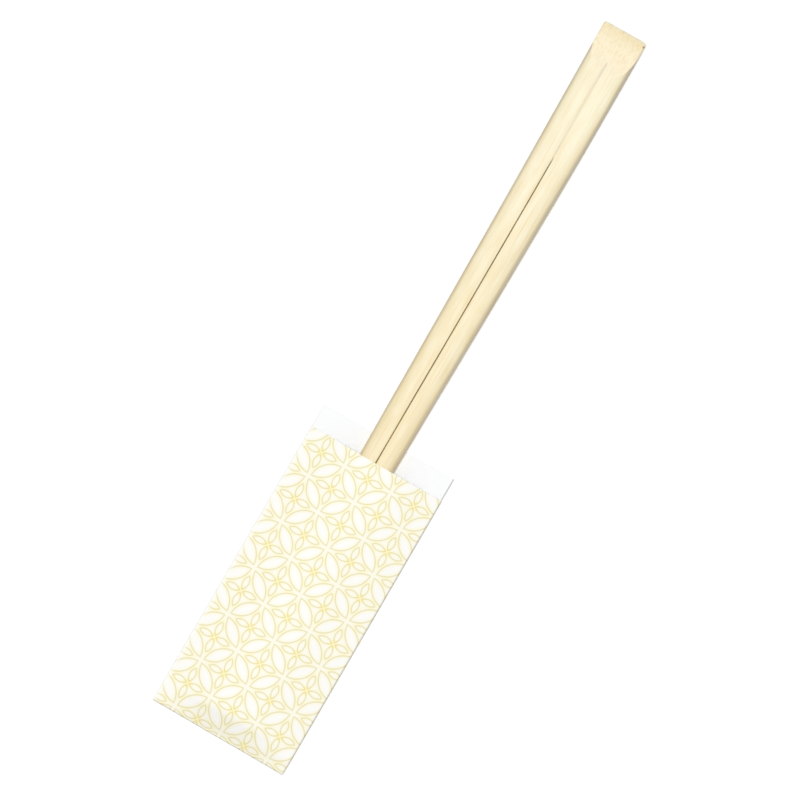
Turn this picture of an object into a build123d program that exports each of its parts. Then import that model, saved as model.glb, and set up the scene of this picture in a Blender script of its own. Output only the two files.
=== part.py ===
from build123d import *
import os
from math import sqrt

os.makedirs("parts", exist_ok=True)

# A pair of bamboo chopsticks, still joined at the head, in a short folded paper sleeve.
# The sticks lie along Y with the head towards +Y, and Z is up. The origin is below the
# middle of the whole object, on the surface that it lies on. All sizes are in millimetres.

# The pair seen from above
pair_length = 240.0
head_width = 14.65
shoulder_width = 12.5
tip_width = 9.4
shoulder_from_head = 125.0

# The section of the pair. The right edge is rounded more than the left, and the seam between
# the sticks lies a little left of the middle.
head_thickness = 5.0
tip_thickness = 4.0
crown_rise = 0.37
left_edge_width = 2.1
left_edge_depth = 1.3
right_edge_width = 2.7
right_edge_depth = 2.0
lower_edge_radius = 1.6
seam_offset = 0.35

# The slanted head, its rounded corners and the blunt tips
facet_length = 14.5
end_thickness = 1.4
left_corner_radius = 0.4
right_corner_radius = 1.2
tip_chamfer = 0.5

# The groove between the sticks, and the saw slit that parts them
groove_width = 0.6
groove_depth = 0.88
slit_from_head = 44.4
slit_width = 0.3
slit_run_out = 5.0
saw_radius = 60.0

# The paper sleeve
sleeve_width = 45.8
sleeve_length = 103.9
lip_length = 7.5
paper = 0.1
lap_width = 10.0
flap_length = 7.0
flap_layers = 3
paper_edge_gap = 0.2
paper_step = 0.5
fold_wall = 0.6

# How the sleeve holds the pair
tip_gap = 8.0
crown_clearance = 0.25
crown_half_width = 12.0
fall_ahead = 2.0

# Places that follow from the sizes
overall_length = pair_length + tip_gap
head_end_y = overall_length / 2
fold_y = -overall_length / 2
tip_y = fold_y + tip_gap
lip_end_y = fold_y + sleeve_length
mouth_y = lip_end_y - lip_length
flap_end_y = fold_y + flap_length
fall_start_y = tip_y + fall_ahead
fall_length = fall_start_y - fold_y
seat_z = 2 * paper
fold_height = 4 * paper
crease_height = 2 * paper
half_sleeve = sleeve_width / 2
seam_x = -seam_offset


def pair_width(from_head):
    """Width over both sticks: a straight taper at the tips that eases off towards the head."""
    slope = (shoulder_width - tip_width) / (pair_length - shoulder_from_head)
    to_shoulder = shoulder_from_head - from_head
    if to_shoulder <= 0:
        return shoulder_width + slope * to_shoulder
    easing = (slope * shoulder_from_head - (head_width - shoulder_width)) / shoulder_from_head**2
    return shoulder_width + slope * to_shoulder - easing * to_shoulder**2


def pair_thickness(from_head):
    """Thickness at the crown of each stick, which falls evenly from the head to the tips."""
    return head_thickness + (tip_thickness - head_thickness) * from_head / pair_length


def front_height(y):
    """Height of the front panel's crown: straight over the sticks, then round to the fold."""
    over_sticks = seat_z + pair_thickness(head_end_y - y) + crown_clearance + paper
    if y >= fall_start_y:
        return over_sticks
    fall_height = front_height(fall_start_y) - fold_height
    fall_radius = (fall_length**2 + fall_height**2) / (2 * fall_height)
    drop = fall_radius - sqrt(fall_radius**2 - (fall_start_y - y) ** 2)
    return front_height(fall_start_y) - drop


def front_outline(foot_x, foot_z, crown_z):
    """Across the front panel: straight up from each crease, and round over the sticks."""
    lean = (crown_z - foot_z) / (2 * foot_x - crown_half_width)
    shoulder_z = crown_z - crown_half_width * lean
    ThreePointArc(
        (-crown_half_width, shoulder_z), (0, crown_z), (crown_half_width, shoulder_z)
    )
    for side in (-1, 1):
        Line((side * crown_half_width, shoulder_z), (side * foot_x, foot_z))


def outer_section(y):
    """Across the outside of the sleeve: a flat back, half-round creases and the front."""
    with BuildSketch() as section:
        with BuildLine():
            foot_x = half_sleeve - paper
            front_outline(foot_x, crease_height, front_height(y))
            for side in (-1, 1):
                ThreePointArc(
                    (side * foot_x, crease_height), (side * half_sleeve, paper), (side * foot_x, 0)
                )
            Line((-foot_x, 0), (foot_x, 0))
        make_face()
    return section.sketch


def hollow_section(y):
    """Across the hollow of the sleeve, one paper thickness inside the outer section."""
    half_hollow = half_sleeve - 2 * paper
    with BuildSketch() as section:
        with BuildLine():
            front_outline(half_hollow, paper, front_height(y) - paper)
            Line((-half_hollow, paper), (half_hollow, paper))
        make_face()
    return section.sketch


# The two sticks as one tapered blank, flat below and crowned above
easing_steps = 3
pair_stations = [shoulder_from_head * step / easing_steps for step in range(easing_steps + 1)]
pair_stations.append(pair_length)
above_pair = seat_z + 2 * head_thickness

with BuildPart() as chopstick_pair:
    for from_head in pair_stations:
        half_width = pair_width(from_head) / 2
        top_z = seat_z + pair_thickness(from_head)
        valley_z = top_z - crown_rise
        thinning = pair_thickness(from_head) / head_thickness
        lower_edge = lower_edge_radius * thinning
        with BuildSketch(Plane.XZ.offset(from_head - head_end_y)):
            with BuildLine():
                for side, edge_width, edge_depth in (
                    (-1, left_edge_width * thinning, left_edge_depth * thinning),
                    (1, right_edge_width * thinning, right_edge_depth * thinning),
                ):
                    crown_end_x = side * (half_width - edge_width)
                    crown = ThreePointArc(
                        (seam_x, valley_z),
                        ((seam_x + crown_end_x) / 2, top_z),
                        (crown_end_x, valley_z),
                    )
                    upper_arc = TangentArc(
                        crown @ 1,
                        (side * half_width, valley_z - edge_depth),
                        tangent=crown % 1,
                    )
                    lower_arc = TangentArc(
                        (side * half_width, seat_z + lower_edge),
                        (side * (half_width - lower_edge), seat_z),
                        tangent=(0, -1),
                    )
                    Line(upper_arc @ 1, lower_arc @ 0)
                    Line(lower_arc @ 1, (seam_x, seat_z))
            make_face()
    loft()

    # The slanted cut across the head
    facet_start = (head_end_y - facet_length, seat_z + pair_thickness(facet_length))
    facet_end = (head_end_y, seat_z + end_thickness)
    with BuildSketch(Plane.YZ):
        with BuildLine():
            Polyline(
                facet_start,
                facet_end,
                (head_end_y, above_pair),
                (head_end_y - facet_length, above_pair),
                close=True,
            )
        make_face()
    extrude(amount=head_width, both=True, mode=Mode.SUBTRACT)

    # The corners of the head, one almost sharp and one worn round
    for side, radius in ((-1, left_corner_radius), (1, right_corner_radius)):
        with BuildSketch(Plane.XY):
            with BuildLine():
                corner_x = side * head_width / 2
                corner_arc = TangentArc(
                    (corner_x, head_end_y - radius),
                    (corner_x - side * radius, head_end_y),
                    tangent=(0, 1),
                )
                Polyline(corner_arc @ 1, (corner_x, head_end_y), corner_arc @ 0)
            make_face()
        extrude(amount=above_pair, mode=Mode.SUBTRACT)

    # Blunt tips
    tip_face = chopstick_pair.faces().sort_by(Axis.Y)[0]
    chamfer(tip_face.edges(), tip_chamfer)

    # The V grooves along the seam, above and below, cut by wedges of twice their size
    groove_rise = groove_depth - crown_rise
    for from_head in (-tip_chamfer, pair_length + tip_chamfer):
        groove_root = seat_z + pair_thickness(from_head) - groove_depth
        with BuildSketch(Plane.XZ.offset(from_head - head_end_y)):
            with BuildLine():
                Polyline(
                    (seam_x, groove_root),
                    (seam_x + groove_width, groove_root + 2 * groove_rise),
                    (seam_x - groove_width, groove_root + 2 * groove_rise),
                    close=True,
                )
            make_face()
    loft(mode=Mode.SUBTRACT)
    with BuildSketch(Plane.XZ.offset(-head_end_y - tip_chamfer)):
        with BuildLine():
            Polyline(
                (seam_x, seat_z + groove_rise),
                (seam_x + groove_width, seat_z - groove_rise),
                (seam_x - groove_width, seat_z - groove_rise),
                close=True,
            )
        make_face()
    extrude(amount=pair_length + 2 * tip_chamfer, mode=Mode.SUBTRACT)

    # The saw slit, which runs out in the round of the blade at the root of the groove
    slit_root = seat_z + pair_thickness(slit_from_head) - groove_depth
    slit_start_y = head_end_y - slit_from_head
    with BuildSketch(Plane.YZ.offset(seam_x)):
        with BuildLine():
            run_out = RadiusArc(
                (slit_start_y, slit_root), (slit_start_y - slit_run_out, seat_z), saw_radius
            )
            Polyline(
                run_out @ 1,
                (tip_y, seat_z),
                (tip_y, above_pair),
                (slit_start_y, above_pair),
                run_out @ 0,
            )
        make_face()
    extrude(amount=slit_width / 2, both=True, mode=Mode.SUBTRACT)

chopstick_pair.part.label = "chopstick_pair"
export_step(chopstick_pair.part, "parts/chopstick_pair.step")

# The sleeve's outer form, lofted over the rounded end and then along the sticks
fall_steps = 4
fall_stations = [fold_y + fall_length * step / fall_steps for step in range(fall_steps + 1)]

with BuildPart() as sleeve_form:
    for y in fall_stations:
        with BuildSketch(Plane.XZ.offset(-y)):
            add(outer_section(y))
    loft()
    for y in (fall_start_y, mouth_y):
        with BuildSketch(Plane.XZ.offset(-y)):
            add(outer_section(y))
    loft()

with BuildPart() as sleeve_hollow:
    for y in [fold_y + fold_wall] + fall_stations[1:]:
        with BuildSketch(Plane.XZ.offset(-y)):
            add(hollow_section(y))
    loft()
    for y in (fall_start_y, lip_end_y):
        with BuildSketch(Plane.XZ.offset(-y)):
            add(hollow_section(y))
    loft()

# The end of the tube, folded under and glued: both of its layers lie below the back panel
with BuildPart() as folded_flap:
    with BuildSketch(Plane.XY):
        with Locations((0, fold_y)):
            Rectangle(
                sleeve_width, flap_length + paper_step, align=(Align.CENTER, Align.MIN)
            )
    extrude(amount=flap_layers * paper)
    add(sleeve_form.part, mode=Mode.INTERSECT)

with BuildPart() as paper_sleeve:
    add(sleeve_form.part)
    add(sleeve_hollow.part, mode=Mode.SUBTRACT)
    add(folded_flap.part)

    # The back panel's lip beyond the mouth, and the glued lap down its middle
    with BuildSketch(Plane.XY):
        with Locations((0, mouth_y)):
            Rectangle(sleeve_width, lip_length, align=(Align.CENTER, Align.MIN))
    extrude(amount=paper)
    with BuildSketch(Plane.XY.offset(paper)):
        with Locations((-paper_step / 2, fold_y + fold_wall)):
            Rectangle(
                lap_width + paper_step,
                sleeve_length - fold_wall,
                align=(Align.CENTER, Align.MIN),
            )
    extrude(amount=paper)

    # The edges of the lap and of the folded end, which show as fine steps on the back
    with BuildSketch(Plane.XY):
        with Locations((-lap_width / 2, flap_end_y)):
            Rectangle(
                paper_edge_gap,
                sleeve_length - flap_length,
                align=(Align.MAX, Align.MIN),
            )
        with Locations((0, flap_end_y)):
            Rectangle(sleeve_width, paper_edge_gap, align=(Align.CENTER, Align.MIN))
    extrude(amount=paper, mode=Mode.SUBTRACT)

paper_sleeve.part.label = "paper_sleeve"
export_step(paper_sleeve.part, "parts/paper_sleeve.step")
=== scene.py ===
from math import atan2, cos, hypot, pi, radians, sin, sqrt

import bmesh
import bpy
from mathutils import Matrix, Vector, noise


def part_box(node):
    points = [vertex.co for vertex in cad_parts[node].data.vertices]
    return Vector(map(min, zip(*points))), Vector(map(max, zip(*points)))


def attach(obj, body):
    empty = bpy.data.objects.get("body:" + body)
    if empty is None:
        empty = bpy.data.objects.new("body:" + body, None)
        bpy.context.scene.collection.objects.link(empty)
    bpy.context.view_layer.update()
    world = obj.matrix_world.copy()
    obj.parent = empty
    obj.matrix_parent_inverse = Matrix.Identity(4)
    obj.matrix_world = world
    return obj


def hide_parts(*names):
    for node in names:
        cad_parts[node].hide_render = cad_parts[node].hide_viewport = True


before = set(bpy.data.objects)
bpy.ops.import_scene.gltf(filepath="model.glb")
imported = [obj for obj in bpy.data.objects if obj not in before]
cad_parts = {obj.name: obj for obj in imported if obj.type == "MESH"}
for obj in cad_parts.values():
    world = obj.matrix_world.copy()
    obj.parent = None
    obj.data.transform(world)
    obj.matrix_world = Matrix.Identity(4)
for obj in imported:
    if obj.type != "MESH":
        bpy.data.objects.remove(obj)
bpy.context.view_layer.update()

# A pair of bamboo chopsticks, still joined at the head, in a printed paper sleeve.
# Sizes below are in millimetres; finished meshes are scaled to metres. Two numbers in brackets
# are where something starts and where it is complete: counted from the head on the pair, and
# from the fold on the sleeve, unless the name says otherwise.
MM = 0.001
pair_low, pair_high = (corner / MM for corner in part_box("chopstick_pair"))
sleeve_low, sleeve_high = (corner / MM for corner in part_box("paper_sleeve"))

# The pair, seen from above. The grown wood bows a little, left at the head and right halfway to
# the sleeve, and is a little narrower in its middle.
pair_length = pair_high.y - pair_low.y
head_width = 14.65
shoulder_width = 12.5
tip_width = 9.4
shoulder_from_head = 125.0
waist = 0.14
waist_starts = (40.0, 65.0)
waist_ends = (120.0, 145.0)
head_bow = 0.46
head_bow_length = 60.0
head_bow_power = 1.6
middle_bow = 0.11
middle_bow_ends = (95.0, 145.0)

# The section of the pair. The slanted cut takes the thickest end away, so the box of the pair
# ends a little below the crown that the head would have.
crown_above_box = 0.06
thinner_at_tips = 1.0
head_thickness = pair_high.z - pair_low.z + crown_above_box
tip_thickness = head_thickness - thinner_at_tips
crown_rise = 0.37
left_edge_width = 2.1
left_edge_depth = 1.3
right_edge_width = 2.7
right_edge_depth = 2.0
right_edge_thinning = 0.13
right_edge_widens = (20.0, 60.0)
lower_edge_radius = 1.6

# The slanted head, its corners and the blunt tips
facet_length = 14.5
end_thickness = 1.4
end_slant = 0.22
end_slant_reach = 5.0
left_corner_radius = 0.8
right_corner_radius = 1.2
tip_rounding = 0.45

# The groove between the sticks, shallow near the head, and the saw slit that parts them
seam_offset = 0.35
seam_drift = 0.12
seam_drift_ends = (33.0, 43.0)
groove_width = 0.6
groove_depth = 0.88
shallow_groove_share = 0.15
groove_deepens = (40.0, 46.0)
slit_from_head = 44.4
slit_width = 0.24
slit_run_out = 5.0
slit_lean = 0.07
slit_wander = 0.03
saw_radius = 60.0

# The sleeve: one sheet of paper, whose layers lie a hair apart
paper = 0.1
layer_gap = 0.002
lip_length = 7.5
lap_width = 10.0
lap_blend = 0.8
flap_length = 7.0
flap_blend = 2.0
fold_y = sleeve_low.y
lip_end_y = sleeve_high.y
mouth_y = lip_end_y - lip_length
sheet_length = lip_end_y - fold_y
half_sleeve = sleeve_high.x
left_crease_radius = 0.16
right_crease_radius = 0.45
crease_opens = (0.5, 5.0)
crease_cut_share = 0.66

# The front panel: how it falls over the tips, arches over the sticks and is uneven where it is
# loose, and how the sides of the sleeve stand clear of the surface
fall_length = 10.0
fall_start_y = fold_y + fall_length
bend_start = 1.0
bend_reach = 1.2
fold_height = 4 * paper
crown_half_width = 12.0
unevenness = 0.16
wave_width = 9.0
wave_length = 21.0
wave_layer = 3.7
uneven_beyond_fold = (1.0, 9.0)
loose_beside_sticks = (5.0, 10.0)
loose_inside_crease = (0.0, 5.0)
side_lift = 0.4
lift_share_at_fold = 0.3
lift_length = 25.0
lift_start_x = 7.0
full_lift_margin = 0.5

# The printed lattice: its repeat, one of its crossings on the front panel, its leaves and lines
lattice_repeat = 16.19
crossing_y = -41.2
large_half_length = 4.72
large_half_width = 1.826
small_from_middle = 2.86
small_half_length = 2.28
small_half_width = 0.93
ink_width = 0.4
ink_softness = 0.04
fringe_width = 1.4

# Light: an even surround, one soft lamp nearly overhead, and the glow that keeps the floor white
# where the shadow is faint. Sizes here are in metres, and the lamp's lean to the left and to the
# head is a share of its height. The floor lies a hair below the object.
surround_strength = 0.4
lamp_power = 20.5
lamp_distance = 1.8
lamp_size = 0.5
lamp_to_left = 0.055
lamp_to_head = 0.04
floor_glow = 0.1
floor_half_side = 3.0
floor_z = -0.00002

# Settings of a Mix node that goes over to a second colour, and of one that darkens a colour by
# multiplying it by a second: for ink, for marks and for painted shade. In both, input 0 is the
# share, 6 and 7 are the colours, and output 2 is the result.
BLEND = {"data_type": "RGBA"}
MULTIPLY_MIX = {"data_type": "RGBA", "blend_type": "MULTIPLY"}


# Small helpers for meshes and materials


def smoothstep(low, high, value):
    """0 below low, 1 above high, and an even turn between them."""
    share = min(max((value - low) / (high - low), 0.0), 1.0)
    return share * share * (3 - 2 * share)


def stations(first, *stretches):
    """Places from the first value on, by stretches that are each an end and its even steps."""
    places = [first]
    for end, steps in stretches:
        start = places[-1]
        places += [start + (end - start) * step / steps for step in range(1, steps + 1)]
    return places


def finish_piece(name, shape, materials, slot, *nodes):
    """Turns a bmesh in millimetres into a piece of the object that stands for CAD nodes."""
    bmesh.ops.scale(shape, vec=(MM, MM, MM), verts=shape.verts)
    mesh = bpy.data.meshes.new(name)
    shape.to_mesh(mesh)
    shape.free()
    piece = bpy.data.objects.new(name, mesh)
    bpy.context.scene.collection.objects.link(piece)
    for material in materials:
        mesh.materials.append(material)
    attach(piece, "root")
    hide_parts(*nodes)
    return piece


def apply_modifiers(piece):
    """Makes the modifiers' result the piece's own mesh."""
    graph = bpy.context.evaluated_depsgraph_get()
    old = piece.data
    new = bpy.data.meshes.new_from_object(piece.evaluated_get(graph))
    piece.modifiers.clear()
    piece.data = new
    name = old.name
    bpy.data.meshes.remove(old)
    new.name = name


def mark_sharp_edges(mesh, degrees):
    """Smooth shading, broken at edges that turn by more than this and where materials meet.
    Edges too short to see are taken out first, so that every face has an area."""
    shortest_edge = 0.001
    shape = bmesh.new()
    shape.from_mesh(mesh)
    bmesh.ops.dissolve_degenerate(shape, dist=shortest_edge * MM, edges=shape.edges)
    for edge in shape.edges:
        turns = edge.calc_face_angle(0.0) > radians(degrees)
        meets = len({face.material_index for face in edge.link_faces}) > 1
        edge.smooth = edge.is_manifold and not turns and not meets
    shape.to_mesh(mesh)
    shape.free()


def linear(hex_colour):
    """An sRGB hex colour as linear RGBA."""
    channels = []
    for start in (1, 3, 5):
        value = int(hex_colour[start : start + 2], 16) / 255
        channels.append(value / 12.92 if value <= 0.04045 else ((value + 0.055) / 1.055) ** 2.4)
    return (*channels, 1.0)


def add_node(tree, kind, inputs=None, **settings):
    """Adds a shader node with its settings; inputs are values or the outputs of other nodes."""
    node = tree.nodes.new("ShaderNode" + kind)
    for name, value in settings.items():
        setattr(node, name, value)
    for key, value in (inputs or {}).items():
        if isinstance(value, bpy.types.NodeSocket):
            tree.links.new(value, node.inputs[key])
        else:
            node.inputs[key].default_value = value
    return node


def new_material(name, roughness, specular):
    """A material with one Principled shader, and the place on the object that its patterns use."""
    material = bpy.data.materials.new(name)
    material.use_nodes = True
    tree = material.node_tree
    shader = tree.nodes["Principled BSDF"]
    shader.inputs["Roughness"].default_value = roughness
    shader.inputs["Specular IOR Level"].default_value = specular
    place = add_node(tree, "TexCoord").outputs["Object"]
    return material, tree, shader, place


def distance_from(tree, value, middle):
    """How far a value lies from a middle, to either side."""
    offset = add_node(tree, "Math", {0: value, 1: middle}, operation="SUBTRACT").outputs[0]
    return add_node(tree, "Math", {0: offset}, operation="ABSOLUTE").outputs[0]


# Bamboo


def bamboo(name, pale, deep, fibre, bundle, bundle_share, cloud_size, cloudiness, shade_and_marks):
    """Bleached bamboo with a planed satin surface. Bundles of fibre run its whole length, 0.7 mm
    apart: they show as long faint streaks on the sides and as small dots where the wood is cut
    across. Finer fibres, 0.2 mm across and some 20 mm long, lie between them. The last argument
    adds painted shade on the edges, in the groove and on the cut, and the cut's own marks."""
    material, tree, shader, place = new_material(name, roughness=0.58, specular=0.35)
    fibre_size = (0.4, 20.0, 0.4)
    bundle_size = (0.7, 40.0, 0.7)
    cloud_place, fibre_place, bundle_place = (
        add_node(
            tree,
            "VectorMath",
            {0: place, 1: [1 / (length * MM) for length in size]},
            operation="MULTIPLY",
        ).outputs[0]
        for size in (cloud_size, fibre_size, bundle_size)
    )

    # The tint deepens slowly from the head to the mouth of the sleeve, with soft clouds
    parts = add_node(tree, "SeparateXYZ", {0: place}).outputs
    to_mouth = {"From Min": pair_high.y * MM, "From Max": mouth_y * MM}
    deepening = add_node(tree, "MapRange", {"Value": parts["Y"], **to_mouth}).outputs[0]
    clouds = add_node(tree, "TexNoise", {"Vector": cloud_place, "Scale": 1.0, "Detail": 2.0})
    cloud_range = {"From Min": 0.3, "From Max": 0.7, "To Min": -cloudiness, "To Max": cloudiness}
    cloud_share = add_node(
        tree, "MapRange", {"Value": clouds.outputs[0], **cloud_range}
    ).outputs[0]
    depth = add_node(
        tree, "Math", {0: deepening, 1: cloud_share}, operation="ADD", use_clamp=True
    ).outputs[0]
    body = add_node(tree, "Mix", {0: depth, 6: linear(pale), 7: linear(deep)}, **BLEND).outputs[2]

    # Fine fibres
    fibres = add_node(
        tree, "TexNoise", {"Vector": fibre_place, "Scale": 1.0, "Detail": 3.0, "Roughness": 0.6}
    ).outputs[0]
    fibre_share = add_node(
        tree, "MapRange", {"Value": fibres, "From Min": 0.5, "From Max": 0.75, "To Max": 0.5}
    ).outputs[0]
    streaked = add_node(
        tree, "Mix", {0: fibre_share, 6: body, 7: linear(fibre)}, **BLEND
    ).outputs[2]

    # Bundles of fibre, each of them darkest in its middle
    bundles = add_node(tree, "TexVoronoi", {"Vector": bundle_place, "Scale": 1.0}).outputs[0]
    bundle_range = {"From Min": 0.32, "From Max": 0.16, "To Max": bundle_share}
    dots = add_node(tree, "MapRange", {"Value": bundles, **bundle_range}).outputs[0]
    colour = add_node(tree, "Mix", {0: dots, 6: streaked, 7: linear(bundle)}, **BLEND).outputs[2]

    # Painted shade on the edges, in the groove and on the cut, with the cut's own marks
    colour = shade_and_marks(tree, parts, colour)
    tree.links.new(colour, shader.inputs["Base Color"])

    # The fibres stand a few hundredths of a millimetre proud and catch a little light
    relief = add_node(
        tree, "Bump", {"Strength": 0.25, "Distance": 0.05 * MM, "Height": fibres}
    ).outputs[0]
    tree.links.new(relief, shader.inputs["Normal"])
    return material


def painted_groove_shade(tree, parts, colour):
    """Painted shade: a faint grey line along the shallow groove, where shade falls in the hollow.
    It fades in beyond the slit, is strongest below the slanted cut, and fades out where the cut
    starts."""
    seam_turn = -0.0085
    seam_middle = 0.282
    seam = add_node(
        tree, "Math", {0: parts["Y"], 1: seam_turn, 2: seam_middle * MM}, operation="MULTIPLY_ADD"
    ).outputs[0]
    off_seam = distance_from(tree, parts["X"], seam)
    line = add_node(
        tree, "MapRange", {"Value": off_seam, "From Min": 0.4 * MM, "From Max": 0.1 * MM}
    ).outputs[0]
    stronger = {"From Min": 100 * MM, "From Max": 109 * MM, "To Min": 0.6}
    from_slit = {"From Min": 68 * MM, "From Max": 84 * MM}
    on_cut = {"From Min": 113 * MM, "From Max": 112.2 * MM}
    for stretch in (stronger, from_slit, on_cut):
        share = add_node(tree, "MapRange", {"Value": parts["Y"], **stretch}).outputs[0]
        line = add_node(tree, "Math", {0: line, 1: share}, operation="MULTIPLY").outputs[0]
    return add_node(tree, "Mix", {0: line, 6: colour, 7: linear("#E8E8EC")}, **MULTIPLY_MIX).outputs[2]


def painted_edge_and_groove_shade(tree, parts, colour):
    """Painted shade on the rounded upper edges, which turn away from the light: darker by how far
    they lie below the crown, and none lower down the sides. Then the painted shade in the groove."""
    taper = (tip_thickness - head_thickness) / pair_length
    middle_top = (pair_low.z + head_thickness + taper * pair_high.y) * MM
    top = add_node(
        tree, "Math", {0: parts["Y"], 1: -taper, 2: middle_top}, operation="MULTIPLY_ADD"
    ).outputs[0]
    below = add_node(tree, "Math", {0: top, 1: parts["Z"]}, operation="SUBTRACT").outputs[0]
    edge_depth = (0.3, 0.9)
    slope_shade_depth = (0.8, 1.4)
    unshaded_depth = (3.2, 2.0)
    edge, slope_shade, above_unshaded = (
        add_node(
            tree, "MapRange", {"Value": below, "From Min": start * MM, "From Max": end * MM}
        ).outputs[0]
        for start, end in (edge_depth, slope_shade_depth, unshaded_depth)
    )
    slope_shade = add_node(tree, "Math", {0: slope_shade, 1: above_unshaded}, operation="MULTIPLY").outputs[0]
    # Both darkenings are painted shade on the rounded upper edges
    for share, darkening in ((edge, "#FDF9EE"), (slope_shade, "#DADBE8")):
        colour = add_node(tree, "Mix", {0: share, 6: colour, 7: linear(darkening)}, **MULTIPLY_MIX).outputs[2]
    return painted_groove_shade(tree, parts, colour)


def cut_marks_and_shade(tree, parts, colour):
    """The slanted cut is paler where it starts and browner towards its end, and carries the painted
    shade of the groove. Painted shade greys its side edges and its very end, and there is one dark
    spot at its right corner."""
    paler_stretch = {"From Min": 116.5 * MM, "From Max": 111.5 * MM, "To Max": 0.5}
    paler = add_node(tree, "MapRange", {"Value": parts["Y"], **paler_stretch}).outputs[0]
    colour = add_node(tree, "Mix", {0: paler, 6: colour, 7: linear("#FDF3D8")}, **BLEND).outputs[2]
    colour = painted_groove_shade(tree, parts, colour)

    brown_stretch = {"From Min": 118.5 * MM, "From Max": 122.5 * MM}
    browned = add_node(tree, "MapRange", {"Value": parts["Y"], **brown_stretch}).outputs[0]
    # Painted shade greys the very end of the cut, where the browning stops
    end_stretch = {"From Min": 122.9 * MM, "From Max": 123.7 * MM}
    end = add_node(tree, "MapRange", {"Value": parts["Y"], **end_stretch}).outputs[0]
    browned = add_node(
        tree, "Math", {0: browned, 1: end}, operation="SUBTRACT", use_clamp=True
    ).outputs[0]

    # Painted shade greys the side edges of the cut, half as much on the left
    right_rim = {"From Min": 6.3 * MM, "From Max": 6.8 * MM}
    right = add_node(tree, "MapRange", {"Value": parts["X"], **right_rim}).outputs[0]
    left_rim = {"From Min": -7.1 * MM, "From Max": -7.6 * MM, "To Max": 0.5}
    left = add_node(tree, "MapRange", {"Value": parts["X"], **left_rim}).outputs[0]
    rim = add_node(tree, "Math", {0: right, 1: left}, operation="MAXIMUM").outputs[0]

    spot_place = (6.56 * MM, 122.5 * MM, 0.0)
    flat_place = add_node(tree, "CombineXYZ", {0: parts["X"], 1: parts["Y"]}).outputs[0]
    from_spot = add_node(
        tree, "VectorMath", {0: flat_place, 1: spot_place}, operation="DISTANCE"
    ).outputs["Value"]
    spot = add_node(
        tree, "MapRange", {"Value": from_spot, "From Min": 0.5 * MM, "From Max": 0.1 * MM}
    ).outputs[0]

    darkenings = ((browned, "#F7F3E7"), (end, "#ECF0F7"), (rim, "#DFDFE2"), (spot, "#B0967C"))
    for share, darkening in darkenings:
        colour = add_node(tree, "Mix", {0: share, 6: colour, 7: linear(darkening)}, **MULTIPLY_MIX).outputs[2]
    return colour


# Paper. The print reads the place on the flat sheet, in millimetres, so that it follows the
# folds; the grain and the flecks read the place on the object.


def outline_of_arcs(tree, place, centre, half_length, half_width):
    """Ink along the outline of one leaf of the lattice, folded into a corner of its cell. The
    leaf lies along the longer folded direction; both its sides are arcs of one radius. Gives
    the share of the line, and that of the paler fringe which the ink draws into the paper."""
    radius = (half_length**2 + half_width**2) / (2 * half_width)
    folded_place = add_node(tree, "VectorMath", {0: place}, operation="ABSOLUTE").outputs[0]
    parts = add_node(tree, "SeparateXYZ", {0: folded_place}).outputs
    longer = add_node(tree, "Math", {0: parts[0], 1: parts[1]}, operation="MAXIMUM").outputs[0]
    shorter = add_node(tree, "Math", {0: parts[0], 1: parts[1]}, operation="MINIMUM").outputs[0]
    corner = add_node(tree, "CombineXYZ", {0: longer, 1: shorter}).outputs[0]
    arc_centre = (centre, half_width - radius, 0.0)
    away = add_node(
        tree, "VectorMath", {0: corner, 1: arc_centre}, operation="DISTANCE"
    ).outputs["Value"]
    off_line = distance_from(tree, away, radius)
    line_range = {
        "From Min": ink_width / 2 + ink_softness,
        "From Max": ink_width / 2 - ink_softness,
    }
    line = add_node(tree, "MapRange", {"Value": off_line, **line_range}).outputs[0]
    fringe = add_node(
        tree,
        "MapRange",
        {"Value": off_line, "From Min": fringe_width, "From Max": 0.0, "To Max": 0.5},
        interpolation_type="SMOOTHSTEP",
    ).outputs[0]
    return line, fringe


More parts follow.
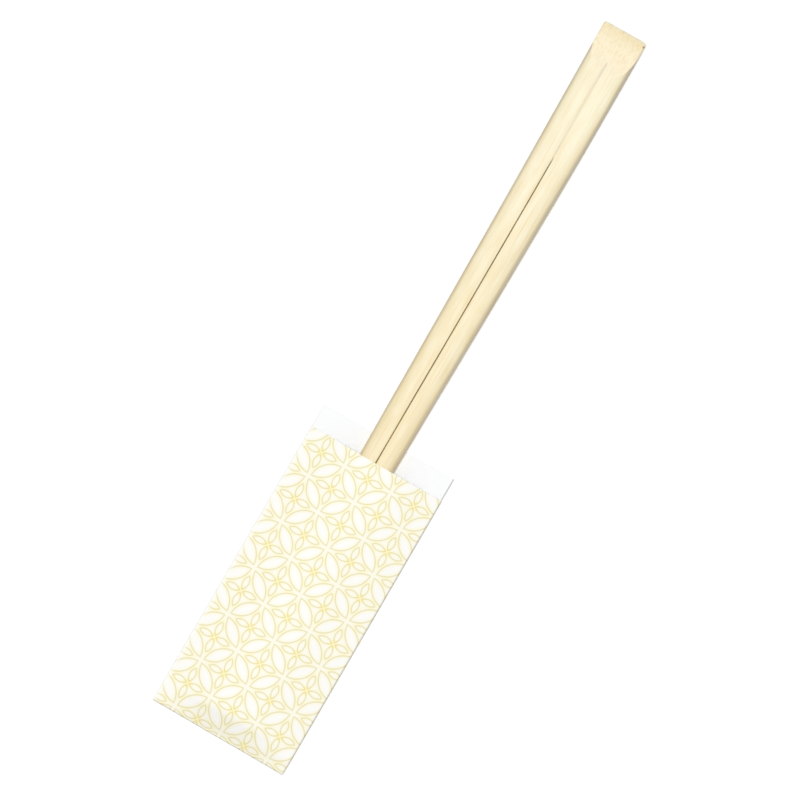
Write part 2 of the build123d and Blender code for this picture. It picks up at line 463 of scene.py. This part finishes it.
def printed_paper():
    """Smooth white wrapping paper, printed outside with thin yellow lines: large leaves along the
    sides of a lattice that stands on its corners, and a small four-leaved flower in each cell.
    The ink is flat and as matt as the paper, and each line has a soft paler fringe."""
    material, tree, shader, place = new_material("printed_paper", roughness=0.72, specular=0.3)
    sheet = add_node(tree, "Attribute", attribute_name="sheet_place").outputs["Vector"]
    from_crossing = add_node(
        tree, "VectorMath", {0: sheet, 1: (0.0, fold_y - crossing_y, 0.0)}, operation="ADD"
    ).outputs[0]
    half_cell = lattice_repeat / sqrt(2) / 2
    wrap = {1: (half_cell, half_cell, 1), 2: (-half_cell, -half_cell, -1)}
    turned = add_node(
        tree,
        "VectorRotate",
        {"Vector": from_crossing, "Angle": radians(45)},
        rotation_type="Z_AXIS",
    ).outputs[0]
    round_crossing = add_node(
        tree, "VectorMath", {0: turned, **wrap}, operation="WRAP"
    ).outputs[0]
    large, large_fringe = outline_of_arcs(
        tree, round_crossing, half_cell, large_half_length, large_half_width
    )

    between = add_node(
        tree, "VectorMath", {0: turned, 1: (half_cell, half_cell, 0)}, operation="ADD"
    ).outputs[0]
    round_flower = add_node(
        tree, "VectorMath", {0: between, **wrap}, operation="WRAP"
    ).outputs[0]
    upright = add_node(
        tree,
        "VectorRotate",
        {"Vector": round_flower, "Angle": radians(-45)},
        rotation_type="Z_AXIS",
    ).outputs[0]
    small, small_fringe = outline_of_arcs(
        tree, upright, small_from_middle, small_half_length, small_half_width
    )
    ink = add_node(tree, "Math", {0: large, 1: small}, operation="MAXIMUM").outputs[0]

    # The fringes add up, most of all where the four small leaves meet
    from_flower = add_node(tree, "VectorMath", {0: upright}, operation="LENGTH").outputs["Value"]
    meeting = add_node(
        tree,
        "MapRange",
        {"Value": from_flower, "From Min": 2.2, "From Max": 0.3, "To Max": 0.75},
        interpolation_type="SMOOTHSTEP",
    ).outputs[0]
    fringe = add_node(tree, "Math", {0: large_fringe, 1: small_fringe}, operation="ADD").outputs[0]
    fringe = add_node(
        tree, "Math", {0: fringe, 1: meeting}, operation="ADD", use_clamp=True
    ).outputs[0]
    white = linear("#FDFCF8")
    fringed = add_node(tree, "Mix", {0: fringe, 6: white, 7: linear("#FFF5C6")}, **BLEND).outputs[2]
    colour = add_node(tree, "Mix", {0: ink, 6: fringed, 7: linear("#ECECD8")}, **MULTIPLY_MIX).outputs[2]

    # The print is pale along the flat left crease; on the round right crease and at the folded end
    # it is a little grey with painted shade
    sheet_parts = add_node(tree, "SeparateXYZ", {0: sheet}).outputs
    left_start, left_end = crease(-1)[1:]
    off_left = distance_from(tree, sheet_parts["X"], -(left_start + left_end) / 2)
    left_crease_fade = add_node(
        tree, "MapRange", {"Value": off_left, "From Min": 1.4, "From Max": 0.2, "To Max": 0.75}
    ).outputs[0]
    colour = add_node(
        tree, "Mix", {0: left_crease_fade, 6: colour, 7: linear("#FFFFFD")}, **BLEND
    ).outputs[2]
    right_start, right_end = crease(1)[1:]
    off_right = distance_from(tree, sheet_parts["X"], (right_start + right_end) / 2)
    half_bend = (right_end - right_start) / 2
    crease_range = {"From Min": half_bend + 0.1, "From Max": half_bend - 0.15}
    crease_grey = add_node(tree, "MapRange", {"Value": off_right, **crease_range}).outputs[0]
    off_fold = distance_from(tree, sheet_parts["Y"], 0.0)
    fold_grey = add_node(
        tree, "MapRange", {"Value": off_fold, "From Min": 0.7, "From Max": 0.3}
    ).outputs[0]
    # Painted shade on the round right crease and the folded end
    grey = add_node(tree, "Math", {0: crease_grey, 1: fold_grey}, operation="MAXIMUM").outputs[0]
    colour = add_node(tree, "Mix", {0: grey, 6: colour, 7: linear("#E3E3E3")}, **MULTIPLY_MIX).outputs[2]
    tree.links.new(colour, shader.inputs["Base Color"])
    add_paper_grain(tree, shader, place)
    return material


def plain_paper(name, pale, deep):
    """Smooth unprinted paper with soft flecks of 2.5 mm. It is used in white for the inner side
    and the cut edges, and in grey inside the open end of the right crease, as painted shade."""
    material, tree, shader, place = new_material(name, roughness=0.75, specular=0.3)
    flecks = add_node(
        tree, "TexNoise", {"Vector": place, "Scale": 1 / (2.5 * MM), "Detail": 2.0}
    ).outputs[0]
    colour = add_node(tree, "Mix", {0: flecks, 6: linear(pale), 7: linear(deep)}, **BLEND)
    tree.links.new(colour.outputs[2], shader.inputs["Base Color"])
    add_paper_grain(tree, shader, place)
    return material


def add_paper_grain(tree, shader, place):
    """A very slight felt grain, about 0.4 mm across."""
    felt = add_node(
        tree, "TexNoise", {"Vector": place, "Scale": 1 / (0.4 * MM), "Detail": 2.0}
    ).outputs[0]
    grain = add_node(
        tree, "Bump", {"Strength": 0.1, "Distance": 0.02 * MM, "Height": felt}
    ).outputs[0]
    tree.links.new(grain, shader.inputs["Normal"])


# The chopsticks


def pair_half_width(from_head, corner_radius):
    """Half the width over both sticks, drawn in round the corner of the head."""
    slope = (shoulder_width - tip_width) / (pair_length - shoulder_from_head)
    to_shoulder = shoulder_from_head - from_head
    width = shoulder_width + slope * to_shoulder
    if to_shoulder > 0:
        extra_width = head_width - shoulder_width
        easing = (slope * shoulder_from_head - extra_width) / shoulder_from_head**2
        width -= easing * to_shoulder**2
    in_waist = smoothstep(*waist_starts, from_head) * (1 - smoothstep(*waist_ends, from_head))
    width -= waist * in_waist
    short = max(corner_radius - from_head, 0.0)
    return width / 2 - corner_radius + sqrt(corner_radius**2 - short**2)


def pair_thickness(from_head):
    """Thickness at the crown of each stick."""
    return head_thickness + (tip_thickness - head_thickness) * from_head / pair_length


def bow(from_head):
    """How far the grown wood bends to the right of a straight line: left at the head, a little
    to the right halfway to the sleeve, and straight inside it."""
    to_straight = max(1 - from_head / head_bow_length, 0.0)
    right = middle_bow * (1 - smoothstep(*middle_bow_ends, from_head))
    return right - head_bow * to_straight**head_bow_power


def seam_place(from_head):
    """Where the groove and the slit run: left of the middle, and a little more so at the head."""
    drift = seam_drift * (1 - smoothstep(*seam_drift_ends, from_head))
    return bow(from_head) - seam_offset - drift


def half_section(from_head, side, corner_radius):
    """Points round one stick's section, from the root of the upper groove to that of the lower."""
    crown_steps = 12
    edge_steps = 8
    lower_steps = 6
    seat = pair_low.z
    half = pair_half_width(from_head, corner_radius)
    thickness = pair_thickness(from_head)
    thinning = thickness / head_thickness
    edge_width = (right_edge_width if side > 0 else left_edge_width) * thinning
    if side > 0:
        edge_width *= 1 - right_edge_thinning * (1 - smoothstep(*right_edge_widens, from_head))
    edge_depth = (right_edge_depth if side > 0 else left_edge_depth) * thinning
    lower_edge = lower_edge_radius * thinning
    seam = seam_place(from_head)
    reach = half + side * (bow(from_head) - seam)
    top = seat + thickness
    valley = top - crown_rise
    groove_rise = groove_depth - crown_rise
    deepened = smoothstep(*groove_deepens, from_head)
    upper_rise = groove_rise * (shallow_groove_share + (1 - shallow_groove_share) * deepened)
    points = [(0.0, valley - upper_rise), (groove_width / 4, valley - upper_rise / 2)]

    # The crown, then an arc on from its slope down to the side
    crown_half = (reach - edge_width) / 2
    crown_radius = (crown_half**2 + crown_rise**2) / (2 * crown_rise)
    for step in range(crown_steps + 1):
        x = groove_width / 2 + (2 * crown_half - groove_width / 2) * step / crown_steps
        points.append((x, top - crown_radius + sqrt(crown_radius**2 - (x - crown_half) ** 2)))
    first_slope = 2 * atan2(crown_rise, crown_half)
    turn = 2 * (atan2(edge_depth, edge_width) - first_slope)
    arc_radius = hypot(edge_width, edge_depth) / (2 * sin(turn / 2))
    for step in range(1, edge_steps + 1):
        slope = first_slope + turn * step / edge_steps
        x = 2 * crown_half + arc_radius * (sin(slope) - sin(first_slope))
        points.append((x, valley - arc_radius * (cos(first_slope) - cos(slope))))

    # Down the side, round below and back to the lower groove
    for step in range(lower_steps + 1):
        slope = pi / 2 * step / lower_steps
        points.append((reach - lower_edge * (1 - cos(slope)), seat + lower_edge * (1 - sin(slope))))
    points.append((half / 2, seat))
    points.append((groove_width / 2, seat))
    points.append((0.0, seat + groove_rise))
    return [(side * x + seam, z) for x, z in points]


def chopstick_pair(wood, cut_wood):
    """The tapered blank, its slanted head and blunt tips, and the saw slit between the sticks."""
    corner_row = 0.15
    corner_rows = 11
    body_start = 2.0
    body_steps = 110
    body = pair_length - body_start
    rows = [corner_row * row for row in range(corner_rows)]
    rows += [body_start + body * row / body_steps for row in range(body_steps + 1)]
    columns = len(half_section(0.0, -1, left_corner_radius)) - 1
    blank = bmesh.new()
    for side, corner_radius in ((-1, left_corner_radius), (1, right_corner_radius)):
        half = bmesh.new()
        bmesh.ops.create_grid(half, x_segments=columns, y_segments=len(rows) - 1, size=0.5)
        for vert in half.verts:
            from_head = rows[round((vert.co.y + 0.5) * (len(rows) - 1))]
            section = half_section(from_head, side, corner_radius)
            x, z = section[round((vert.co.x + 0.5) * columns)]
            short = end_slant * (0.5 - x / head_width)
            short *= 1 - smoothstep(0.0, end_slant_reach, from_head)
            vert.co = (x, pair_high.y - from_head - short, z)
        mesh = bpy.data.meshes.new("half")
        half.to_mesh(mesh)
        half.free()
        blank.from_mesh(mesh)
        bpy.data.meshes.remove(mesh)
    weld_distance = 0.0005
    bmesh.ops.remove_doubles(blank, verts=blank.verts, dist=weld_distance)
    bmesh.ops.holes_fill(blank, edges=[edge for edge in blank.edges if edge.is_boundary])
    bmesh.ops.recalc_face_normals(blank, faces=blank.faces)

    # Blunt tips
    facing_end = 0.9
    tip_faces = [face for face in blank.faces if face.normal.y < -facing_end]
    tip_edges = {edge for face in tip_faces for edge in face.edges}
    bmesh.ops.bevel(
        blank,
        geom=list(tip_edges),
        offset=tip_rounding,
        segments=3,
        profile=0.5,
        affect="EDGES",
        material=-1,
    )

    # The slanted cut across the head. The cut and the tips, which face along the sticks, show
    # the ends of the fibres.
    facet_drop = pair_thickness(facet_length) - end_thickness
    facet_normal = Vector((0.0, facet_drop, facet_length)).normalized()
    cut = bmesh.ops.bisect_plane(
        blank,
        geom=blank.verts[:] + blank.edges[:] + blank.faces[:],
        plane_co=(0.0, pair_high.y, pair_low.z + end_thickness),
        plane_no=facet_normal,
        clear_outer=True,
    )["geom_cut"]
    bmesh.ops.contextual_create(
        blank, geom=[part for part in cut if isinstance(part, bmesh.types.BMEdge)]
    )
    bmesh.ops.recalc_face_normals(blank, faces=blank.faces)
    facing_along = 0.2
    for face in blank.faces:
        face.smooth = True
        face.material_index = int(abs(face.normal.y) > facing_along)
    piece = finish_piece("bamboo_pair", blank, (wood, cut_wood), "bamboo", "chopstick_pair")
    saw_slit(piece)
    mark_sharp_edges(piece.data, degrees=32)


def saw_slit(piece):
    """Parts the sticks with a thin saw cut that wanders by a few hundredths of a millimetre."""
    blade_margin = 1.0
    blade_step = 4
    run_out_steps = 8
    wander_across = 4.0
    wander_along = 0.11
    start_y = pair_high.y - slit_from_head
    root = pair_low.z + pair_thickness(slit_from_head) - groove_depth
    run_out_start = Vector((start_y, root))
    chord = Vector((start_y - slit_run_out, pair_low.z)) - run_out_start
    sag = saw_radius - sqrt(saw_radius**2 - (chord.length / 2) ** 2)
    outward = Vector((chord.y, -chord.x)).normalized()
    outline = [(start_y, pair_high.z + blade_margin)]
    for step in range(run_out_steps + 1):
        share = step / run_out_steps
        outline.append(run_out_start + chord * share + outward * (4 * share * (1 - share) * sag))
    beyond_y = pair_low.y - 2 * blade_margin
    outline.append((start_y - slit_run_out, -blade_margin))
    outline.append((beyond_y, -blade_margin))
    outline.append((beyond_y, pair_high.z + blade_margin))
    blade = bmesh.new()
    corners = [blade.verts.new((-slit_width / 2, y, z)) for y, z in outline]
    side = blade.faces.new(corners)
    grown = bmesh.ops.extrude_face_region(blade, geom=[side])["geom"]
    moved = [part for part in grown if isinstance(part, bmesh.types.BMVert)]
    bmesh.ops.translate(blade, verts=moved, vec=(slit_width, 0.0, 0.0))
    for cut_y in range(int(pair_low.y), int(start_y), blade_step):
        bmesh.ops.bisect_plane(
            blade,
            geom=blade.verts[:] + blade.edges[:] + blade.faces[:],
            plane_co=(0.0, cut_y, 0.0),
            plane_no=(0.0, 1.0, 0.0),
        )
    for vert in blade.verts:
        wander_place = Vector((wander_across * vert.co.x, wander_along * vert.co.y, 0.0))
        wander = slit_wander * noise.noise(wander_place)
        wander += slit_lean * (vert.co.z - root)
        vert.co.x += wander + seam_place(pair_high.y - vert.co.y)
    bmesh.ops.recalc_face_normals(blade, faces=blade.faces)
    for face in blade.faces:
        face.smooth = True
        face.material_index = 1
    bmesh.ops.scale(blade, vec=(MM, MM, MM), verts=blade.verts)
    mesh = bpy.data.meshes.new("saw_cut")
    blade.to_mesh(mesh)
    blade.free()
    for material in piece.data.materials:
        mesh.materials.append(material)
    cutter = bpy.data.objects.new("saw_cut", mesh)
    bpy.context.scene.collection.objects.link(cutter)
    modifier = piece.modifiers.new("slit", "BOOLEAN")
    modifier.operation = "DIFFERENCE"
    modifier.solver = "EXACT"
    modifier.object = cutter
    apply_modifiers(piece)
    bpy.data.objects.remove(cutter)
    bpy.data.meshes.remove(mesh)


# The paper sleeve: one sheet, wrapped round, lapped down the back and folded under at its end


def crease(side):
    """The radius of the crease on one side, left pressed flat and right left round, and the
    places across the sheet where its bend starts and ends."""
    radius = right_crease_radius if side > 0 else left_crease_radius
    start = half_sleeve - radius - paper / 2
    return radius, start, start + pi * radius


def sheet_half(side):
    """Half the width of the flat sheet, from the middle of the front to the edge of the lap."""
    start, end = crease(side)[1:]
    return end + start + lap_width / 2


def front_height(y):
    """Height of the middle of the front panel's paper: over the sticks, then bent over their
    tips and straight down to the fold."""
    from_head = pair_high.y - max(y, fall_start_y)
    clearance = sleeve_high.z - pair_low.z - pair_thickness(pair_high.y - mouth_y)
    over_sticks = pair_low.z + pair_thickness(from_head) + clearance
    sloping = fall_length - bend_start - bend_reach
    fallen = min(fall_start_y - y, fall_length) - bend_start - bend_reach
    if fallen < bend_reach:
        fallen = max(fallen + bend_reach, 0.0) ** 2 / (4 * bend_reach)
    return over_sticks - fallen / sloping * (over_sticks - fold_height) - paper / 2


def crease_lift(x, y):
    """How far the sides of the sleeve stand clear of the surface, more towards the mouth."""
    opened = smoothstep(0.0, lift_length, y - fold_y)
    lift = side_lift * (lift_share_at_fold + (1 - lift_share_at_fold) * opened)
    return lift * smoothstep(lift_start_x, half_sleeve - full_lift_margin, abs(x))


def arch_height(x, y, front_y, lowest, crease_x):
    """Height of the front panel before it rests on other layers: an arc over the sticks, straight
    down to each crease, and a little uneven where it hangs free. Front_y is the place along the
    front from which its height is taken."""
    least_rise = 0.001
    rise = max(front_height(front_y) - lowest, least_rise)
    shoulder = lowest + rise * (1 - crown_half_width / (2 * crease_x - crown_half_width))
    if abs(x) < crown_half_width:
        drop = lowest + rise - shoulder
        arch_radius = (crown_half_width**2 + drop**2) / (2 * drop)
        arch_z = lowest + rise - arch_radius + sqrt(arch_radius**2 - x**2)
    else:
        side_share = min((crease_x - abs(x)) / (crease_x - crown_half_width), 1.0)
        arch_z = lowest + (shoulder - lowest) * max(side_share, 0.0)
    loose = smoothstep(*loose_beside_sticks, abs(x))
    loose *= smoothstep(*loose_inside_crease, crease_x - abs(x))
    wave = noise.noise(Vector((x / wave_width, y / wave_length, wave_layer)))
    return arch_z + unevenness * wave * loose * smoothstep(*uneven_beyond_fold, y - fold_y)


def folded(across, along):
    """The place in the folded sleeve of a point of the flat sheet. Across is counted round the
    tube from the middle of the front, along from the fold; it is negative on the end that is
    turned under."""
    far = abs(across)
    side = 1 if across > 0 else -1
    crease_radius, crease_x, back_start = crease(side)
    turn = pi * min(max((far - crease_x) / (back_start - crease_x), 0.0), 1.0)
    to_back = (1 - cos(turn)) / 2
    x = side * (min(far, crease_x) - max(far - back_start, 0.0))
    lap = smoothstep(lap_width / 2 + lap_blend, lap_width / 2, abs(x))
    outer_lap = lap * to_back if side > 0 else 0.0
    inner_lap = lap * to_back if side < 0 else 0.0

    # Heights of this layer on and under the fold, where four layers lie on each other and six
    # do in the lap, and the round turn between them
    lower = paper * (0.5 + to_back + outer_lap)
    upper = paper * (3.5 - to_back + 2 * lap - outer_lap)
    radius = (upper - lower) / 2
    bend = pi * radius / 2
    centre_y = fold_y + lower + radius
    if along < bend:
        turned = max(along, -bend) / radius
        y = centre_y - radius * cos(turned) + max(-along - bend, 0.0)
        z = lower + radius + radius * sin(turned)
        return Vector((x + side * sin(turn) * crease_radius, y, z + crease_lift(x, y)))

    # Further on, the back lies on the folded end or flat, and the front is arched over the sticks
    y = centre_y + along - bend
    on_flap = smoothstep(fold_y + flap_length + flap_blend, fold_y + flap_length, y)
    stack = paper * (2 + lap) * on_flap
    back_z = paper / 2 + stack + paper * inner_lap + crease_lift(x, y)
    open_crease = (2 * crease_radius - paper) * smoothstep(*crease_opens, y - fold_y)
    lowest = 1.5 * paper + open_crease + 2 * paper * on_flap + crease_lift(crease_x, y)
    arch_z = arch_height(x, y, y - centre_y + fold_y, lowest, crease_x)
    front_z = max(arch_z, 1.5 * paper + stack + paper * lap + crease_lift(x, y))
    z = front_z + (back_z - front_z) * to_back
    return Vector((x + side * sin(turn) * crease_radius, y, z))


def paper_sleeve(printed, plain, shade_paper):
    """The printed sheet, folded into the sleeve, with its real thickness and white cut edges."""
    fold_bend = 0.45
    near_fold = 3.0
    past_fall = 11.0
    mouth_along = sheet_length - lip_length
    halves = []
    for side in (-1, 1):
        start, end = crease(side)[1:]
        lap_edge = end + start - lap_width / 2
        lap_stretches = ((lap_edge - lap_blend, 16), (lap_edge, 4), (sheet_half(side), 10))
        halves.append(stations(0.0, (start, 24), (end, 6), *lap_stretches))
    columns = [-place for place in reversed(halves[0][1:])] + halves[1]
    rows = stations(
        -flap_length,
        (-fold_bend, 6),
        (fold_bend, 14),
        (near_fold, 8),
        (past_fall, 12),
        (mouth_along, 60),
        (sheet_length, 6),
    )
    sheet = bmesh.new()
    bmesh.ops.create_grid(
        sheet, x_segments=len(columns) - 1, y_segments=len(rows) - 1, size=0.5
    )
    place_layer = sheet.verts.layers.float_vector.new("sheet_place")
    for vert in sheet.verts:
        across = columns[round((vert.co.x + 0.5) * (len(columns) - 1))]
        along = rows[round((vert.co.y + 0.5) * (len(rows) - 1))]
        vert[place_layer] = Vector((across, along, 0.0))
        vert.co = (across, along, 0.0)

    # Beyond the mouth the front and most of each crease are cut away. What is left of the right
    # crease is plain outside, and inside it the grey paper is painted shade.
    cut_away = []
    for face in sheet.faces:
        centre = face.calc_center_median()
        start, end = crease(centre.x)[1:]
        cut_to = start + (end - start) * crease_cut_share
        if centre.y > mouth_along and abs(centre.x) < cut_to:
            cut_away.append(face)
        elif centre.y > mouth_along and 0 < centre.x < end:
            face.material_index = 1
    bmesh.ops.delete(sheet, geom=cut_away, context="FACES")
    for vert in sheet.verts:
        vert.co = folded(vert.co.x, vert.co.y)
    for face in sheet.faces:
        face.smooth = True
    materials = (printed, plain, shade_paper)
    piece = finish_piece("printed_sleeve", sheet, materials, "printed_paper", "paper_sleeve")
    thickness = piece.modifiers.new("paper", "SOLIDIFY")
    thickness.thickness = (paper - layer_gap) * MM
    thickness.offset = 0.0
    thickness.material_offset = 1
    thickness.material_offset_rim = 1
    apply_modifiers(piece)
    mark_sharp_edges(piece.data, degrees=35)
    lay_out_print(piece.data)


def lay_out_print(mesh):
    """A map of the flat sheet for its printed side; each plain material shares one small patch
    beside it."""
    margin = 0.005
    print_width = 0.96
    patch_start = (0.97, 0.01)
    patch_side = 0.02
    patch_step = 0.04
    patch_corners = ((0, 0), (1, 0), (1, 1), (0, 1))
    widest = sheet_half(1)
    shape = bmesh.new()
    shape.from_mesh(mesh)
    place_layer = shape.verts.layers.float_vector["sheet_place"]
    map_layer = shape.loops.layers.uv.new("OFBake")
    for face in shape.faces:
        for corner, loop in enumerate(face.loops):
            place = loop.vert[place_layer]
            if face.material_index == 0:
                across = (place.x + widest) / (2 * widest)
                along = (place.y + flap_length) / (sheet_length + flap_length)
                u = margin + across * (print_width - 2 * margin)
                v = margin + along * (1 - 2 * margin)
            else:
                right, up = patch_corners[corner % 4]
                u = patch_start[0] + patch_side * right
                v = patch_start[1] + patch_side * up + patch_step * (face.material_index - 1)
            loop[map_layer].uv = (u, v)
    shape.to_mesh(mesh)
    shape.free()


# Room, light and camera


def floor_and_light():
    """A plain white floor, an even surround and one soft lamp nearly overhead. The camera sees
    the floor as white with a faint shadow; the object gets its light back as from pale card."""
    floor_shape = bmesh.new()
    bmesh.ops.create_grid(floor_shape, x_segments=1, y_segments=1, size=floor_half_side)
    floor_mesh = bpy.data.meshes.new("floor")
    floor_shape.to_mesh(floor_mesh)
    floor_shape.free()
    floor = bpy.data.objects.new("floor", floor_mesh)
    bpy.context.scene.collection.objects.link(floor)
    floor.location.z = floor_z
    material = bpy.data.materials.new("white_floor")
    material.use_nodes = True
    tree = material.node_tree
    tree.nodes.remove(tree.nodes["Principled BSDF"])
    rays = add_node(tree, "LightPath").outputs
    seen = add_node(
        tree,
        "Math",
        {0: rays["Is Camera Ray"], 1: rays["Is Glossy Ray"]},
        operation="MAXIMUM",
    ).outputs[0]
    card = add_node(tree, "BsdfDiffuse", {"Color": linear("#B0B0B0")}).outputs[0]
    white = add_node(tree, "BsdfDiffuse", {"Color": linear("#FFFFFF")}).outputs[0]
    glow = add_node(tree, "Emission", {"Strength": floor_glow}).outputs[0]
    backdrop = add_node(tree, "AddShader", {0: white, 1: glow}).outputs[0]
    either = add_node(tree, "MixShader", {0: seen, 1: card, 2: backdrop}).outputs[0]
    tree.links.new(either, tree.nodes["Material Output"].inputs["Surface"])
    floor_mesh.materials.append(material)

    world = bpy.data.worlds.new("surround")
    bpy.context.scene.world = world
    world.use_nodes = True
    background = world.node_tree.nodes["Background"]
    background.inputs["Color"].default_value = linear("#FFFFFF")
    background.inputs["Strength"].default_value = surround_strength

    lamp_data = bpy.data.lights.new("softbox", "AREA")
    lamp_data.shape = "SQUARE"
    lamp_data.size = lamp_size
    lamp_data.energy = lamp_power
    lamp = bpy.data.objects.new("softbox", lamp_data)
    bpy.context.scene.collection.objects.link(lamp)
    towards_lamp = Vector((-lamp_to_left, lamp_to_head, 1.0)).normalized()
    lamp.location = towards_lamp * lamp_distance
    lamp.rotation_euler = towards_lamp.to_track_quat("Z", "Y").to_euler()


def photo_camera():
    """Looks straight down, turned so that the object lies as in the photograph. The height is
    in metres."""
    millimetres_per_pixel = 0.3043
    image_side = 800
    lean = radians(30.16)
    origin_pixel = (422.35, 385.1)
    height = 1.353
    data = bpy.data.cameras.new("camera")
    data.sensor_width = 36.0
    data.lens = data.sensor_width * height / (image_side * millimetres_per_pixel * MM)
    camera = bpy.data.objects.new("camera", data)
    bpy.context.scene.collection.objects.link(camera)
    camera.rotation_euler = (0.0, 0.0, lean)
    right = Vector((cos(lean), sin(lean), 0.0))
    up = Vector((-sin(lean), cos(lean), 0.0))
    offset_right = origin_pixel[0] - image_side / 2
    offset_up = image_side / 2 - origin_pixel[1]
    step = millimetres_per_pixel * MM
    camera.location = -(right * offset_right + up * offset_up) * step + Vector((0.0, 0.0, height))
    bpy.context.scene.camera = camera


planed_wood = bamboo(
    "planed_bamboo",
    pale="#FBF3D6",
    deep="#F7E8C1",
    fibre="#E9CE98",
    bundle="#E3C38C",
    bundle_share=0.25,
    cloud_size=(2.2, 9.0, 2.2),
    cloudiness=0.4,
    shade_and_marks=painted_edge_and_groove_shade,
)
cut_wood = bamboo(
    "cut_bamboo",
    pale="#FFF3D3",
    deep="#EBCF9C",
    fibre="#EBCB9A",
    bundle="#DDBB8C",
    bundle_share=0.2,
    cloud_size=(1.5, 2.0, 1.5),
    cloudiness=0.15,
    shade_and_marks=cut_marks_and_shade,
)
chopstick_pair(planed_wood, cut_wood)
inner_paper = plain_paper("plain_paper", pale="#FBFBFB", deep="#F9FAFB")
# Grey paper that paints the shade inside the open end of the right crease
crease_shade_paper = plain_paper("crease_shade_paper", pale="#D8D8D8", deep="#D2D2D2")
paper_sleeve(printed_paper(), inner_paper, crease_shade_paper)
floor_and_light()
photo_camera()
bpy.context.scene.view_settings.view_transform = "Standard"
